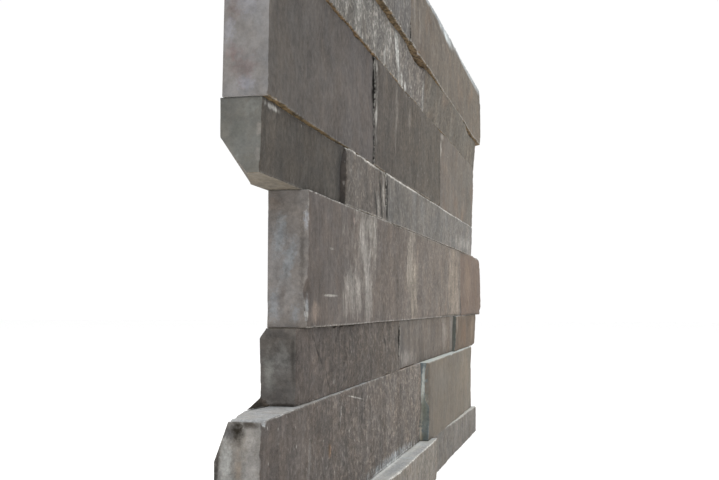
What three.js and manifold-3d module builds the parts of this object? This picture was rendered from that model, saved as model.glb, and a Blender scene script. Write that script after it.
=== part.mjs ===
// A cladding strip of split quartzite: eight courses of stone, thick and thin in turn,
// bonded one on another, with ends that step so that the next strip locks into it.
// Each stone is sawn on its beds, ends and back, and split along its front.
//
// Lengths are in millimetres and +Z is up. The strip runs along X, its split faces look
// along -Y, and its back looks along +Y to the wall. The origin is in the middle of the
// surface that the strip stands on, under the centre of its bounding box.

import * as THREE from "three";
import { ConvexGeometry } from "three/addons/geometries/ConvexGeometry.js";
import { mergeVertices } from "three/addons/utils/BufferGeometryUtils.js";
import Module from "manifold-3d";

const wasm = await Module();
wasm.setup();

// ---------------------------------------------------------------- driving dimensions

const TIP = 300; // half the overall length: at each end, every other pair of courses reaches here
const STEP = 50; // how far the other courses stand back, for the interlock
const HEIGHT = 300; // foot of the lowest course to the head of the highest
const DEPTH = 26; // wall plane to the proudest point, on the foot course
const BED_JOINT = 0.3; // hairline joint between two courses
const BUTT_JOINT = 0.3; // hairline joint between two stones of a course

const GRID_LENGTH = 15; // spacing of the split face's facets along a stone
const ARRIS_BAND = 2; // width of the worn strip inside each edge of a split face
const ROWS_THICK = 5; // rows of facets up a thick stone's face, worn strips included
const ROWS_THIN = 4; // and up a thin stone's
const THICK_FROM = 35; // a course taller than this is a thick one
const LAYERS = 2; // facets from the split face to the back

const SWELL = { size: [95, 48], height: 0.5 }; // long, shallow waves of the split
const LUMP = { size: [31, 17], height: 0.35 }; // lumps and hollows on them
const LEDGE = { size: [58, 21], height: 0.25 }; // steps where the split changed its layer
const WEAR = { size: 23, least: 0.15, most: 0.45 }; // how far an arris is worn back

// ------------------------------------------------------------------------ the stones

const GREY = "#6b6661";
const DARK_GREY = "#5e5a55";
const LILAC_GREY = "#78736f";
const BLUE_GREY = "#74716d";
const BROWN_GREY = "#776d63";
const TAN = "#83776b";

// Height of the bed joints, from the foot of the lowest course to the head of the highest.
const BEDS = [0, 25.4, 73.2, 99.9, 150.2, 174.4, 225, 250.8, HEIGHT];

// Each course gives how far its back stands off the wall plane. Each stone gives its two
// ends along X, and how far its split face stands in front of the wall plane at them, or
// at even steps between them. A positive lean brings the head of the face forward of its
// foot. A positive slant brings the head of the near end that far along X from its foot.
// The few stones that were sawn out of level also give the height of their foot or head at
// their two ends.
const COURSES = [
  {
    off: 0,
    stones: [
      { ends: [-TIP, 18], head: [26.6, 25.4], face: [26, 24.4], lean: 0.4, colour: TAN },
      { ends: [18, 262], head: [25.2, 21.2], face: [20.4, 22], lean: 0.2, colour: LILAC_GREY },
    ],
  },
  {
    off: 0,
    stones: [
      {
        ends: [-TIP, 2],
        foot: [26.6, 25.5],
        head: [71.4, 73.2],
        face: [15.9, 16.5],
        lean: -0.3,
        colour: GREY,
      },
      { ends: [2, TIP - STEP], foot: [25.5, 21.4], face: [21.7, 19.6], lean: 0.4, colour: TAN },
    ],
  },
  {
    off: 0.5,
    stones: [
      {
        ends: [-255, -66],
        slant: -1.2,
        foot: [71.7, 72.9],
        face: [14.5, 16.1],
        lean: 0,
        colour: DARK_GREY,
      },
      { ends: [-66, 150], face: [16, 16.4], lean: 0.3, colour: BROWN_GREY },
      { ends: [150, 288], face: [19.4, 17.6], lean: 1.4, colour: TAN },
    ],
  },
  {
    off: 1.9,
    stones: [
      { ends: [-251.6, 185], slant: 1.2, face: [17, 18], lean: 0.3, colour: BLUE_GREY },
      { ends: [185, TIP], face: [18, 21.5], lean: -1.2, colour: TAN },
    ],
  },
  {
    off: 1.5,
    stones: [
      { ends: [-298.2, -194], face: [15.5, 15.8], lean: 0.8, colour: DARK_GREY },
      { ends: [-194, -110], face: [17.4, 17.7], lean: 0.3, colour: BLUE_GREY },
      { ends: [-110, TIP - STEP], face: [17.8, 19.7], lean: 0, colour: LILAC_GREY },
    ],
  },
  {
    off: 2.5,
    stones: [
      {
        ends: [-299.2, -140],
        slant: 3.2,
        face: [17.6, 17.5],
        lean: -0.2,
        colour: LILAC_GREY,
      },
      { ends: [-140, 70], face: [18.5, 18.8], lean: 0.2, colour: DARK_GREY },
      { ends: [70, TIP - STEP], face: [18.8, 20.2], lean: 1, colour: TAN },
    ],
  },
  {
    off: 1,
    stones: [
      { ends: [-TIP + STEP, 0], face: [19.4, 19.1], lean: 0.3, colour: LILAC_GREY },
      { ends: [0, 281], face: [19.6, 21.4, 18.5], lean: 2.2, colour: BROWN_GREY },
    ],
  },
  {
    off: 0.8,
    stones: [
      { ends: [-TIP + STEP, -67], face: [23, 22.6], lean: -0.4, colour: LILAC_GREY },
      { ends: [-67, TIP], face: [22.8, 21.6], lean: -0.6, colour: BROWN_GREY },
    ],
  },
];

// Corners that broke off flat. The cut meets the stone's three edges at this reach from
// the corner, which is at the near (-X) end, at the back, at the head or the foot.
const BROKEN_CORNERS = [
  { stone: "course2_stone1", at: "head", reach: [29, 4.8, 13] },
  { stone: "course3_stone1", at: "head", reach: [15, 2.4, 3.2] },
  { stone: "course5_stone1", at: "foot", reach: [30, 9, 11.5] },
];

// A spur that the saw left at the back foot corner of a stone's near end: how far it runs
// out past the end, how far it comes forward from the back, and its height.
const SPURS = [{ stone: "course3_stone1", reach: [16, 3.4, 3.2] }];

// Long splinters that came off a head arris, one after another. Each is a straight bevel
// that narrows along the stone. At its two ends it gives the place along X, how far from
// the wall plane it meets the head, and how far it comes down the face.
const BEVELS = [
  {
    stone: "course8_stone2",
    ends: [-70, 112],
    rest: [18, 19.4],
    drop: [7.5, 14.6],
  },
  {
    stone: "course8_stone2",
    ends: [111, 299],
    rest: [19.4, 21.5],
    drop: [8.3, 5],
  },
];

// Flakes struck off the front arrises: middle of the flake, and its half sizes.
const FLAKES = [
  { stone: "course8_stone2", at: [301, -21.8, 250.5], size: [7, 6, 9] },
  { stone: "course7_stone1", at: [-30, -20, 251.6], size: [34, 4.6, 4.2] },
  { stone: "course4_stone2", at: [286, -20.8, 151.5], size: [36, 3.6, 4.2] },
  { stone: "course7_stone2", at: [236, -21.5, 252], size: [54, 3.6, 6] },
  { stone: "course4_stone2", at: [300.5, -21.6, 99.6], size: [9, 4, 6] },
  { stone: "course4_stone1", at: [-252, -17.4, 112], size: [3, 2.6, 8] },
  { stone: "course4_stone1", at: [-252, -17.2, 140], size: [2.6, 2.4, 10] },
  { stone: "course5_stone1", at: [-194, -16.6, 160], size: [5, 2, 15] },
  { stone: "course6_stone2", at: [66, -19.4, 174], size: [8, 3, 3] },
  { stone: "course2_stone1", at: [2, -17.4, 33], size: [6, 4, 12] },
  { stone: "course2_stone2", at: [2, -21.4, 60], size: [3, 3, 16] },
  { stone: "course1_stone1", at: [-150, -25.6, 26.4], size: [34, 2.4, 2.2] },
  { stone: "course3_stone1", at: [-66, -16.6, 88], size: [3.5, 1.6, 14] },
  { stone: "course6_stone2", at: [-140, -18.9, 197], size: [4, 1.6, 9] },
  { stone: "course2_stone1", at: [-297, -8.5, 72.5], size: [4, 3.4, 4.6] },
];

// --------------------------------------------------------------------- the split face

// A number from -1 to 1 that belongs to one point of a lattice, the same on every run.
function scatter(i, j, seed) {
  let bits = Math.imul(i, 374761393) ^ Math.imul(j, 668265263) ^ Math.imul(seed, 144665);
  bits = Math.imul(bits ^ (bits >>> 13), 1274126177);
  return ((bits ^ (bits >>> 16)) >>> 0) / 0x7fffffff - 1;
}

// The same numbers, joined smoothly between the points of a lattice of unit cells.
function smoothNoise(u, v, seed) {
  const i = Math.floor(u);
  const j = Math.floor(v);
  const s = THREE.MathUtils.smoothstep(u - i, 0, 1);
  const t = THREE.MathUtils.smoothstep(v - j, 0, 1);
  const below = THREE.MathUtils.lerp(scatter(i, j, seed), scatter(i + 1, j, seed), s);
  const above = THREE.MathUtils.lerp(scatter(i, j + 1, seed), scatter(i + 1, j + 1, seed), s);
  return THREE.MathUtils.lerp(below, above, t);
}

function waves(x, z, form, seed) {
  return smoothNoise(x / form.size[0], z / form.size[1], seed);
}

// Height of the cleft relief over the mean plane of a split face.
function relief(x, z, seed) {
  const step = Math.sign(waves(x, z, LEDGE, seed + 2));
  return (
    SWELL.height * waves(x, z, SWELL, seed) +
    LUMP.height * waves(x, z, LUMP, seed + 1) +
    LEDGE.height * step
  );
}

// How far the arris is worn back at a place along it.
function wear(along, seed) {
  const share = Math.max(0, smoothNoise(along / WEAR.size, 0.5, seed + 3));
  return THREE.MathUtils.lerp(WEAR.least, WEAR.most, share);
}

// --------------------------------------------------------------------------- a stone

// Places from 0 to a length: a narrow band at each end, and even steps between them.
function bandedSteps(length, count) {
  const inner = count - 2;
  const pitch = (length - 2 * ARRIS_BAND) / inner;
  const places = Array.from({ length: inner + 1 }, (_, k) => ARRIS_BAND + k * pitch);
  return [0, ...places, length];
}

// How far the face stands out at a share of the way along it.
function faceAt(face, along) {
  const place = THREE.MathUtils.clamp(along, 0, 1) * (face.length - 1);
  const from = Math.min(Math.floor(place), face.length - 2);
  return THREE.MathUtils.lerp(face[from], face[from + 1], place - from);
}

// A subdivided box whose points are moved to the stone's beds, ends, back and split face.
function stoneGeometry(stone, off, seed) {
  const { ends, foot, head, face, lean, slant = 0 } = stone;
  const length = ends[1] - ends[0];
  const rise = head[0] - foot[0];
  const columns = Math.max(5, Math.round(length / GRID_LENGTH) + 2);
  const rows = rise > THICK_FROM ? ROWS_THICK : ROWS_THIN;
  const alongPlaces = bandedSteps(length, columns);
  const upPlaces = bandedSteps(rise, rows);

  const box = new THREE.BoxGeometry(1, 1, 1, columns, LAYERS, rows);
  const points = box.getAttribute("position");
  for (let n = 0; n < points.count; n++) {
    const column = Math.round((points.getX(n) + 0.5) * columns);
    const layer = Math.round((points.getY(n) + 0.5) * LAYERS);
    const row = Math.round((points.getZ(n) + 0.5) * rows);
    const along = alongPlaces[column] / length;
    const up = upPlaces[row] / rise;

    const x = THREE.MathUtils.lerp(ends[0] + slant * up, ends[1], along);
    const footHere = THREE.MathUtils.lerp(foot[0], foot[1], along);
    const headHere = THREE.MathUtils.lerp(head[0], head[1], along);
    const z = THREE.MathUtils.lerp(footHere, headHere, up);

    let proud = faceAt(face, along) + lean * (up - 0.5);
    proud += relief(x, z, seed);
    if (row === 0 || row === rows) proud -= wear(x, seed + row);
    if (column === 0 || column === columns) proud -= wear(z, seed + column);
    proud = Math.min(proud, DEPTH);
    points.setXYZ(n, x, -THREE.MathUtils.lerp(proud, off, layer / LAYERS), z);
  }
  return box;
}

// ----------------------------------------------------------------- cutting the stones

function toSolid(geometry) {
  const bare = geometry.clone();
  bare.deleteAttribute("normal");
  bare.deleteAttribute("uv");
  const merged = mergeVertices(bare, 1e-4);
  return new wasm.Manifold(
    new wasm.Mesh({
      numProp: 3,
      vertProperties: new Float32Array(merged.attributes.position.array),
      triVerts: new Uint32Array(merged.index.array),
    }),
  );
}

function toGeometry(solid) {
  const mesh = solid.getMesh();
  const geometry = new THREE.BufferGeometry();
  geometry.setAttribute("position", new THREE.BufferAttribute(mesh.vertProperties, 3));
  geometry.setIndex(new THREE.BufferAttribute(mesh.triVerts, 1));
  return geometry;
}

// The piece that fell from a corner: a pyramid whose slanted face is the break. Its other
// faces stand clear of the stone, by OUTSIDE of the reach.
const OUTSIDE = 0.2;

function cornerPiece(stone, off, at, reach) {
  const z = at === "head" ? stone.head[0] : stone.foot[0];
  const inward = new THREE.Vector3(reach[0], -reach[1], at === "head" ? -reach[2] : reach[2]);
  const tip = new THREE.Vector3(stone.ends[0], -off, z).addScaledVector(inward, -OUTSIDE);
  const stretch = 1 + 3 * OUTSIDE;
  const edges = [
    new THREE.Vector3(inward.x * stretch, 0, 0),
    new THREE.Vector3(0, inward.y * stretch, 0),
    new THREE.Vector3(0, 0, inward.z * stretch),
  ];
  return new ConvexGeometry([tip, ...edges.map((edge) => edge.add(tip))]);
}

// The spur is a pyramid that is rooted a little way inside the stone.
const ROOT = 1.5;

function spurPiece(stone, off, reach) {
  const heel = new THREE.Vector3(stone.ends[0] + ROOT, -off, stone.foot[0]);
  const toe = heel.clone().add(new THREE.Vector3(-ROOT - reach[0], 0, 0));
  const side = heel.clone().add(new THREE.Vector3(0, -reach[1], 0));
  const top = heel.clone().add(new THREE.Vector3(0, 0, reach[2]));
  return new ConvexGeometry([heel, toe, side, top]);
}

// The splinter that left a bevel: a long wedge that reaches BEYOND the stone on both sides.
const BEYOND = 0.5;

function splinterPiece(stone, { ends, rest, drop }) {
  const corners = [0, 1].flatMap((end) => {
    const share = (ends[end] - stone.ends[0]) / (stone.ends[1] - stone.ends[0]);
    const proud = faceAt(stone.face, share) + stone.lean / 2;
    const onHead = new THREE.Vector3(ends[end], -rest[end], stone.head[0]);
    const onFace = new THREE.Vector3(ends[end], -proud, stone.head[0] - drop[end]);
    const slope = onFace.clone().sub(onHead).multiplyScalar(BEYOND);
    const inner = onHead.clone().sub(slope);
    const outer = onFace.clone().add(slope);
    return [inner, outer, new THREE.Vector3(ends[end], outer.y, inner.z)];
  });
  return new ConvexGeometry(corners);
}

function flakePiece({ at, size }) {
  const lump = new THREE.IcosahedronGeometry(1, 0);
  lump.rotateX(0.4);
  lump.rotateY(0.3);
  lump.scale(...size);
  lump.translate(...at);
  return lump;
}

// ------------------------------------------------------------------------- the strip

// A stone of course c with its beds filled in, less its half of each joint at its sides.
function jointed(stone, c, free) {
  const bed = BED_JOINT / 2;
  const butt = BUTT_JOINT / 2;
  const foot = stone.foot ?? [BEDS[c], BEDS[c]];
  const head = stone.head ?? [BEDS[c + 1], BEDS[c + 1]];
  return {
    ...stone,
    ends: [stone.ends[0] + (free.left ? 0 : butt), stone.ends[1] - (free.right ? 0 : butt)],
    foot: foot.map((z) => z + (free.below ? 0 : bed)),
    head: head.map((z) => z - (free.above ? 0 : bed)),
  };
}

function makeStone(name, stone, off, seed) {
  let solid = toSolid(stoneGeometry(stone, off, seed));
  for (const spur of SPURS.filter((one) => one.stone === name))
    solid = solid.add(toSolid(spurPiece(stone, off, spur.reach)));
  for (const corner of BROKEN_CORNERS.filter((one) => one.stone === name))
    solid = solid.subtract(toSolid(cornerPiece(stone, off, corner.at, corner.reach)));
  for (const bevel of BEVELS.filter((one) => one.stone === name))
    solid = solid.subtract(toSolid(splinterPiece(stone, bevel)));
  for (const flake of FLAKES.filter((one) => one.stone === name))
    solid = solid.subtract(toSolid(flakePiece(flake)));
  const material = new THREE.MeshStandardMaterial({
    color: stone.colour,
    roughness: 0.8,
    metalness: 0,
    flatShading: true,
  });
  const mesh = new THREE.Mesh(toGeometry(solid), material);
  mesh.name = name;
  return mesh;
}

const strip = new THREE.Group();
COURSES.forEach((course, c) => {
  course.stones.forEach((stone, s) => {
    const free = {
      left: s === 0,
      right: s === course.stones.length - 1,
      below: c === 0,
      above: c === COURSES.length - 1,
    };
    const name = `course${c + 1}_stone${s + 1}`;
    const seed = 100 * (c + 1) + 10 * s;
    strip.add(makeStone(name, jointed(stone, c, free), course.off, seed));
  });
});

// The strip stands over its origin, so the wall plane is half the depth behind it.
strip.position.y = DEPTH / 2;

export default strip;
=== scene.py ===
"""A cladding strip of split quartzite: eight bonded courses of stone with stepped ends."""

import math

import bpy
import numpy as np
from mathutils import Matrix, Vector
from mathutils.bvhtree import BVHTree


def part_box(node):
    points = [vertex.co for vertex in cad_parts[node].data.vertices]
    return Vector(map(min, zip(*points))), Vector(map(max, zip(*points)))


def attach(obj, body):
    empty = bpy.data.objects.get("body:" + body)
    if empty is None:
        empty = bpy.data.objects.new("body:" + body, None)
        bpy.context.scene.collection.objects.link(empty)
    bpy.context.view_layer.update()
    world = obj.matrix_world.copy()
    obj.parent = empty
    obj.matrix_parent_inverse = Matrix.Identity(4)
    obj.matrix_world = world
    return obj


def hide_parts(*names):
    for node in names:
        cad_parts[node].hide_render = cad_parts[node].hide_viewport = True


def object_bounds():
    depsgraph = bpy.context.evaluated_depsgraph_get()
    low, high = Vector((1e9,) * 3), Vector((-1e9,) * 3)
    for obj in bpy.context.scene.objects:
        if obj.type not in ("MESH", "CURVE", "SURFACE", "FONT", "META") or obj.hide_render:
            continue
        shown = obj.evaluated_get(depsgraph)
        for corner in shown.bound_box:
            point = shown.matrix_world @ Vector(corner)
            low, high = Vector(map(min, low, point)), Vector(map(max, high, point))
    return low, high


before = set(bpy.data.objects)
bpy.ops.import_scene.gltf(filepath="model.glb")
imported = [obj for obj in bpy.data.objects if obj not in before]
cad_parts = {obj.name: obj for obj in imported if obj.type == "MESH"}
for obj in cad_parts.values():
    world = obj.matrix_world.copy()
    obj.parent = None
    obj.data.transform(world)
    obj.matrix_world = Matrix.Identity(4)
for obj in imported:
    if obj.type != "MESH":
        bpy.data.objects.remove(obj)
solid_box = [list(corner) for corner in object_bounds()]


# ------------------------------------------------------------------ floor, light, camera
# The strip stands by itself on a pale floor in an even white surround. A large soft light
# stands off its near end, another hangs above it, and a small one is near its far end.

MM = 0.001
NEAR_END = solid_box[0][0]  # where the courses that reach furthest end
WALL = solid_box[1][1]  # the plane of the sawn backs
EYE_FROM_WALL = 115.7 * MM
EYE_BEYOND_END = 298.8 * MM
EYE_HEIGHT = 108.3 * MM
TURN_TO_WALL = math.radians(12.86)
UPRIGHT = math.radians(90)
SENSOR_WIDTH = 36  # mm
FOCAL_LENGTH = 50  # mm
RISE = 0.0903  # of the lens, as a share of the sensor's width
NEAREST_SEEN = 10 * MM

camera = bpy.data.objects.new("camera", bpy.data.cameras.new("camera"))
camera.data.sensor_width = SENSOR_WIDTH
camera.data.lens = FOCAL_LENGTH
camera.data.shift_y = RISE
camera.data.clip_start = NEAREST_SEEN
camera.location = (NEAR_END - EYE_BEYOND_END, WALL - EYE_FROM_WALL, EYE_HEIGHT)
camera.rotation_euler = (UPRIGHT, 0, TURN_TO_WALL - UPRIGHT)
bpy.context.scene.collection.objects.link(camera)
bpy.context.scene.camera = camera

FLOOR_REACH = 6  # m from the strip, each way
FLOOR_WHITE = (0.97, 0.97, 0.97, 1)
FLOOR_ROUGHNESS = 0.9
SURROUND_WHITE = (1, 1, 1, 1)
SURROUND_STRENGTH = 1.02
square = ((-1, -1), (1, -1), (1, 1), (-1, 1))
corners = [(x * FLOOR_REACH, y * FLOOR_REACH, 0) for x, y in square]
floor_mesh = bpy.data.meshes.new("floor")
floor_mesh.from_pydata(corners, [], [(0, 1, 2, 3)])
floor_paint = bpy.data.materials.new("pale_floor")
floor_paint.use_nodes = True
floor_shader = floor_paint.node_tree.nodes["Principled BSDF"]
floor_shader.inputs["Base Color"].default_value = FLOOR_WHITE
floor_shader.inputs["Roughness"].default_value = FLOOR_ROUGHNESS
floor_mesh.materials.append(floor_paint)
floor = bpy.data.objects.new("floor", floor_mesh)
bpy.context.scene.collection.objects.link(floor)

world = bpy.data.worlds.new("surround")
world.use_nodes = True
background = world.node_tree.nodes["Background"]
background.inputs["Color"].default_value = SURROUND_WHITE
background.inputs["Strength"].default_value = SURROUND_STRENGTH
bpy.context.scene.world = world
bpy.context.scene.view_settings.view_transform = "Standard"


def soft_light(name, place, aim, width, watts):
    """A square softbox at a place, facing a point, with its width in metres."""
    lamp = bpy.data.objects.new(name, bpy.data.lights.new(name, "AREA"))
    lamp.data.size = width
    lamp.data.energy = watts
    lamp.location = place
    lamp.rotation_euler = (Vector(aim) - Vector(place)).to_track_quat("-Z", "Y").to_euler()
    bpy.context.scene.collection.objects.link(lamp)


soft_light("near_end_light", (-1.7, -0.3, 0.8), (-0.2, 0, 0.15), 1.0, 14.5)
soft_light("overhead_light", (-0.1, -0.1, 1.6), (-0.1, 0, 0.15), 1.0, 14)
soft_light("far_end_light", (0.32, -0.5, 0.3), (0.3, 0, 0.15), 0.3, 1.85)


# ------------------------------------------------------------------------------- course 1
# The foot course: a brown and a grey stone of quartzite, thin, sawn as blocks, split along
# their fronts and glued end to end. The near one stands proudest of all and shows a wide
# dusty ledge, the far one is set back, and their beds are sawn a little out of level.

class Flow:
    """A number or vector that runs through a node tree, so that sums read as sums."""

    def __init__(self, tree, socket):
        self.tree = tree
        self.socket = socket

    def through(self, kind, inputs, output=0, **settings):
        """A new node of a kind, fed with inputs by place or name, and one of its outputs."""
        node = self.tree.nodes.new(kind)
        for name, value in settings.items():
            setattr(node, name, value)
        for name, value in inputs.items():
            if isinstance(value, Flow):
                self.tree.links.new(value.socket, node.inputs[name])
            else:
                node.inputs[name].default_value = value
        return Flow(self.tree, node.outputs[output])

    def math(self, operation, *values):
        """Arithmetic, with this as the first number."""
        inputs = dict(enumerate((self, *values)))
        return self.through("ShaderNodeMath", inputs, operation=operation)

    def vector(self, operation, other):
        """Vector arithmetic, with this as the first vector."""
        return self.through("ShaderNodeVectorMath", {0: self, 1: other}, operation=operation)

    def scaled(self, scale):
        """This vector times a number."""
        inputs = {0: self, "Scale": scale}
        return self.through("ShaderNodeVectorMath", inputs, operation="SCALE")

    def __add__(self, other):
        return self.math("ADD", other)

    def __sub__(self, other):
        return self.math("SUBTRACT", other)

    def __rsub__(self, other):
        return self.math("MULTIPLY", -1.0) + other

    def __mul__(self, other):
        return self.math("MULTIPLY", other)

    def __truediv__(self, other):
        return self.math("DIVIDE", other)

    def __pow__(self, other):
        return self.math("POWER", other)

    def ramp(self, start, end):
        """0 at start and 1 at end, smooth between them."""
        inputs = {"Value": self, "From Min": start, "From Max": end}
        return self.through("ShaderNodeMapRange", inputs, interpolation_type="SMOOTHSTEP")

    def noise(self, size, detail=2.0, roughness=0.5, distortion=0.0):
        """Smooth noise from 0 to 1, with lumps of a size."""
        inputs = {
            "Vector": self,
            "Scale": 1 / size,
            "Detail": detail,
            "Roughness": roughness,
            "Distortion": distortion,
        }
        return self.through("ShaderNodeTexNoise", inputs)

    def cells(self, size, output="Distance"):
        """Irregular cells of a size: how far their middles are, or a value for each cell."""
        inputs = {"Vector": self, "Scale": 1 / size}
        return self.through("ShaderNodeTexVoronoi", inputs, output)


# Every stone starts as a sawn block. Its front is split along the layers of the rock, which
# leaves low steps, lumps and sugary grain, and its edges spall a little as it is handled.
# The sizes are in mm, and the depths are shares of a stone's own amounts.
SEED_APART = {"X": 37.0, "Z": 61.0}  # how far off in the rock the next seed's stone lies
LAYERED = (1, 0.15, 1)  # the layers lie close to the split face
WAVE = 44  # from one rise of a layer to the next
LAYERS_CROSSED = 9.0
OUTCROP_RISE = 0.16  # the share of a layer's outcrop that its step up takes
LUMP, SCALE, GRAIN = 11, 3.4, 1.5
FLAKE = 5.5
FLAKING_STRETCH = 30  # stretches of arris that spall, and that don't
FLAKE_REACH = 3.0
NOTCH = 1.7  # the little ins and outs of a worn arris
BACK_WEAR = 0.4  # the back's arrises wear less
BITE_DEPTH = 0.45


def cleaving_tree():
    """The steps that turn a sawn block into a split and handled stone."""
    tree = bpy.data.node_groups.new("cleaving", "GeometryNodeTree")
    sockets = tree.interface
    sockets.new_socket("Block", in_out="INPUT", socket_type="NodeSocketGeometry")
    usual = {
        "Seed": 0.0,
        "Lump": 0.25,
        "Layer": 0.35,
        "Scale": 0.06,
        "Grain": 0.05,
        "Wear": 0.3,
        "Spall": 1.0,
    }
    for name, value in usual.items():
        socket = sockets.new_socket(name, in_out="INPUT", socket_type="NodeSocketFloat")
        socket.default_value = value
    sockets.new_socket("Stone", in_out="INPUT", socket_type="NodeSocketMaterial")
    sockets.new_socket("Split stone", in_out="OUTPUT", socket_type="NodeSocketGeometry")
    given = tree.nodes.new("NodeGroupInput")
    block, seed, lump, layer, scale, grain, wear, spall, finish = (
        Flow(tree, given.outputs[name]) for name in ("Block", *usual, "Stone")
    )

    def kept(name):
        """A distance that the block keeps at each of its points."""
        return seed.through("GeometryNodeInputNamedAttribute", {"Name": name}, "Attribute")

    place = seed.through("GeometryNodeInputPosition", {}).scaled(1 / MM)
    apart = {axis: seed * distance for axis, distance in SEED_APART.items()}
    rock = place.vector("ADD", seed.through("ShaderNodeCombineXYZ", apart))
    flat = rock.vector("MULTIPLY", LAYERED)

    # The split follows the rock's layers: it rises a layer in a narrow step, then sinks back.
    layers = flat.noise(WAVE, detail=4, roughness=0.55, distortion=0.7) * LAYERS_CROSSED
    part = layers.math("FRACT")
    steps = (part.ramp(0, OUTCROP_RISE) - part) * layer
    lumps = (flat.noise(LUMP, detail=5, roughness=0.62) - 0.5) * lump * 2.0
    scales = (rock.noise(SCALE, detail=3, distortion=0.5) - 0.5) * scale * 2.0
    grains = (rock.noise(GRAIN, detail=2) - 0.5) * grain * 2.0
    relief = (steps + lumps + scales + grains) * kept("split")

    # An arris wears a little everywhere. Here and there it spalls in flakes, each its own
    # size, that take as much from both of the faces that meet there.
    flaking = rock.noise(FLAKING_STRETCH, detail=1).ramp(0.48, 0.7)
    flakes = rock.cells(FLAKE, "Color") ** 3.0 * flaking
    ragged = rock.noise(NOTCH, detail=2).ramp(0.25, 0.75) * 0.6 + 0.7
    reach = (flakes * spall * FLAKE_REACH + wear + kept("struck")) * ragged
    outward = {
        "front": (0, -1, 0),
        "back": (0, 1, 0),
        "near": (-1, 0, 0),
        "far": (1, 0, 0),
        "foot": (0, 0, -1),
        "head": (0, 0, 1),
    }
    bites = None
    shift = seed.through("ShaderNodeCombineXYZ", {"Y": relief * -1.0})
    names = list(outward)
    for i, a in enumerate(names):
        for b in names[2 * (i // 2) + 2:]:
            taken = reach * (BACK_WEAR if "back" in (a, b) else 1.0)
            share = (1.0 - (kept(a) + kept(b)) / taken).math("MAXIMUM", 0.0)
            bite = share ** 2.0 * taken * BITE_DEPTH
            inward = tuple(-float(p + q) for p, q in zip(outward[a], outward[b]))
            inputs = {0: inward, "Scale": bite}
            step = bite.through("ShaderNodeVectorMath", inputs, operation="SCALE")
            shift = shift.vector("ADD", step)
            bites = bite if bites is None else bites + bite

    inputs = {"Geometry": block, "Offset": shift.scaled(MM)}
    stone = seed.through("GeometryNodeSetPosition", inputs)
    for name, value in (("spalled", bites), ("relief", relief)):
        inputs = {"Geometry": stone, "Name": name, "Value": value}
        stone = seed.through(
            "GeometryNodeStoreNamedAttribute", inputs, data_type="FLOAT", domain="POINT"
        )
    whole = seed.through("GeometryNodeRealizeInstances", {"Geometry": stone})
    inputs = {"Geometry": whole, "Material": finish}
    finished = seed.through("GeometryNodeSetMaterial", inputs)
    tree.links.new(finished.socket, tree.nodes.new("NodeGroupOutput").inputs[0])
    return tree


def smoothed(field, radius):
    """A height field with its creases eased over that many of its cells."""
    window = np.hanning(2 * radius + 3)[1:-1]
    window /= window.sum()
    for axis in (0, 1):
        field = np.moveaxis(field, axis, -1)
        padded = np.pad(field, ((0, 0), (radius, radius)), mode="edge")
        field = sum(w * padded[:, k:k + field.shape[1]] for k, w in enumerate(window))
        field = np.moveaxis(field, -1, axis)
    return field


GROWTH = 1.5  # from one facet to the next, away from an arris


def closing_places(length, pitch, finest):
    """Places from 0 to a length, even in the middle and closer and closer to both ends."""
    close, place, step = [], 0.0, finest
    while step < pitch and 2 * place + pitch < length:
        close.append(place)
        place += step
        step *= GROWTH
    rest = length - 2 * place
    middle = np.linspace(place, length - place, max(2, round(rest / pitch) + 1))
    return np.concatenate((close, middle, [length - p for p in reversed(close)]))


FINEST = 0.2 * MM  # facets at the arrises
THROUGH_PITCH = 3 * MM  # facets from the face to the back
OUTSIDE = 10 * MM  # how far outside a stone the feeling for its surface starts
MIDST = 0.4  # of the way from the face to the back, where the beds are felt for
INSET = 0.35 * MM  # the solid is felt for this far inside its edges
EASING = 2.5  # mm over which the solid's creases are eased
CRISP = 0.12 * MM  # a hollow deeper than this keeps its shape
CLOSER = 0.14 * MM  # a stone reaches this far into its joints, since it lies rough on rough


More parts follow.
